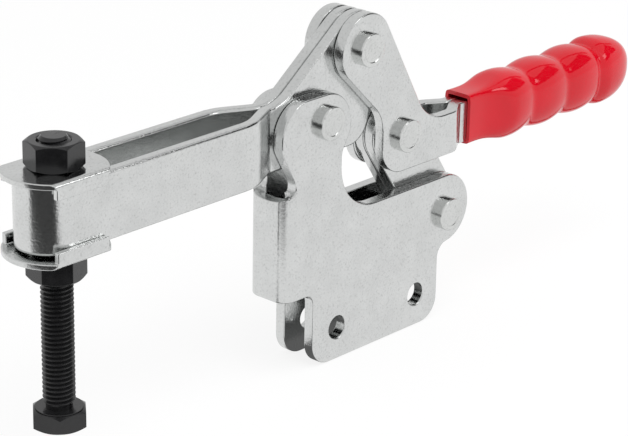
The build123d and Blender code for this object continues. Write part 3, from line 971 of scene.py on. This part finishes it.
def floor_finish():
    """Pale and matt, with a glow that only the camera and reflections see."""
    material, tree, shader = new_finish("floor_white")
    shader.inputs["Base Color"].default_value = (0.9, 0.9, 0.9, 1)
    shader.inputs["Roughness"].default_value = 0.9
    path = node(tree, "ShaderNodeLightPath")
    mix, seen, mirrored, result = colour_mix(tree)
    seen.default_value = white
    tree.links.new(path.outputs["Is Glossy Ray"], mix.inputs["Factor"])
    tree.links.new(reflected_floor(tree).socket, mirrored)
    glow = node(tree, "ShaderNodeEmission", Strength=1.0)
    tree.links.new(result, glow.inputs["Color"])
    glossy_ray = Field(tree, path.outputs["Is Glossy Ray"])
    share = Field(tree, path.outputs["Is Camera Ray"]).math("MULTIPLY_ADD", own_light, glossy_ray)
    both = node(tree, "ShaderNodeMixShader")
    tree.links.new(share.socket, both.inputs["Fac"])
    tree.links.new(shader.outputs["BSDF"], both.inputs[1])
    tree.links.new(glow.outputs["Emission"], both.inputs[2])
    tree.links.new(both.outputs["Shader"], tree.nodes["Material Output"].inputs["Surface"])
    return material


def make_floor():
    """A large flat floor just under the clamp's feet."""
    mesh = bpy.data.meshes.new("floor")
    level = cad_low.z - floor_gap
    corners = [(-1, -1), (1, -1), (1, 1), (-1, 1)]
    mesh.from_pydata([(a * floor_reach, b * floor_reach, level) for a, b in corners], [], [(0, 1, 2, 3)])
    floor = bpy.data.objects.new("floor", mesh)
    bpy.context.scene.collection.objects.link(floor)
    mesh.materials.append(floor_finish())
    print("floor level in mm:", round(level * 1000, 1))


make_floor()

# %% [markdown]
# ## Reflection cards
# A product is lit with soft lamps, and its gleams are shaped with cards that stand just out of the
# camera's view. Lamps alone would make every gleam a white patch. These cards are seen by reflections only,
# so they light nothing and throw no shadow. A broad dark one to the right draws a thin dark line along
# the arm's rolled edges, and gives the pins' rims and the grip's bumps some depth. A narrow dark one
# behind it, higher up, draws a seam along the tops of the bumps. A small bright one in front of it puts
# the highlights on the bumps and a fine bright line beside the dark one.

# %% Reflection cards
card_aim = 0.06                 # the cards stand round a point this high


def reflection_card(name, azimuth, elevation, reach, wide, high, strength):
    """A card that only reflections see: it shapes the gleams and lights nothing."""
    turn, rise = math.radians(azimuth), math.radians(elevation)
    toward = Vector((math.cos(turn) * math.cos(rise), math.sin(turn) * math.cos(rise), math.sin(rise)))
    side = Vector((-math.sin(turn), math.cos(turn), 0))
    up = toward.cross(side)
    middle = toward * reach + Vector((0, 0, card_aim))
    ends = ((-1, -1), (1, -1), (1, 1), (-1, 1))
    corners = [middle + side * (a * wide / 2) + up * (b * high / 2) for a, b in ends]
    mesh = bpy.data.meshes.new(name)
    mesh.from_pydata(corners, [], [(0, 1, 2, 3)])
    card = bpy.data.objects.new(name, mesh)
    bpy.context.scene.collection.objects.link(card)
    card.visible_camera = False
    card.visible_diffuse = False
    card.visible_shadow = False
    material, _, shader = new_finish(name)
    shader.inputs["Base Color"].default_value = black
    shader.inputs["Specular IOR Level"].default_value = 0.0
    shader.inputs["Emission Color"].default_value = white
    shader.inputs["Emission Strength"].default_value = strength
    mesh.materials.append(material)
    print(name, "at", azimuth, "degrees round and", elevation, "up")


reflection_card("dark_card", azimuth=-40, elevation=30, reach=0.80, wide=0.86, high=0.40, strength=0.02)
reflection_card("seam_card", azimuth=0, elevation=50, reach=0.85, wide=0.07, high=0.90, strength=0.02)
reflection_card("lamp_card", azimuth=-66, elevation=31, reach=0.70, wide=0.20, high=0.18, strength=3.4)

# %% [markdown]
# ## Room and lamps
# An even white room gives most of the light, as a tent of white cloth does round a small product. Two
# large soft lamps add the shadow on the floor and a little shape. Reflections don't see the lamps,
# because their gleams on the rolled edges would be pure white.

# %% Room and lamps
room_light = 0.75


def make_world():
    """An even white room."""
    world = bpy.data.worlds.new("studio")
    world.use_nodes = True
    back = world.node_tree.nodes["Background"]
    back.inputs["Color"].default_value = white
    back.inputs["Strength"].default_value = room_light
    bpy.context.scene.world = world


def soft_lamp(name, place, aim, size, power):
    """A square softbox that points at a spot, and that reflections don't see."""
    data = bpy.data.lights.new(name, "AREA")
    data.size = size
    data.energy = power
    lamp = bpy.data.objects.new(name, data)
    lamp.location = place
    lamp.rotation_euler = (Vector(aim) - Vector(place)).to_track_quat("-Z", "Y").to_euler()
    lamp.visible_glossy = False
    bpy.context.scene.collection.objects.link(lamp)
    print(name, "lamp, watts:", power)


make_world()
soft_lamp("key", place=(-0.2, -0.5, 1.3), aim=(0, 0, 0.05), size=0.9, power=9)
soft_lamp("fill", place=(1.0, -0.6, 0.7), aim=(0, 0, 0.06), size=0.8, power=4)
bpy.context.scene.view_settings.view_transform = "Standard"

# %% [markdown]
# ## Camera
# A long lens stands a metre away, above and in front of the spindle end. From that far the sheets' edges
# run nearly parallel, where a short lens close by would make them flare. The camera leans by one degree.

# %% Camera
camera_place = (-0.70091, -0.60971, 0.39250)
camera_aim = (0.69221, 0.62691, -0.35754)
camera_lean = 1.06              # degrees
camera_lens, camera_sensor = 141.78, 36.0       # mm


def make_camera():
    """Set the camera from its place, its direction and its lean."""
    data = bpy.data.cameras.new("camera")
    data.sensor_width = camera_sensor
    data.lens = camera_lens
    data.clip_start, data.clip_end = 0.01, 50
    camera = bpy.data.objects.new("camera", data)
    bpy.context.scene.collection.objects.link(camera)
    forward = Vector(camera_aim).normalized()
    level = forward.cross(Vector((0, 0, 1))).normalized()
    lean = math.radians(camera_lean)
    upright = level.cross(forward)
    right = math.cos(lean) * level + math.sin(lean) * upright
    up = -math.sin(lean) * level + math.cos(lean) * upright
    turn = Matrix((right, up, -forward)).transposed().to_4x4()
    camera.matrix_world = Matrix.Translation(camera_place) @ turn
    bpy.context.scene.camera = camera
    print("camera, metres from the clamp:", round(Vector(camera_place).length, 2))


make_camera()
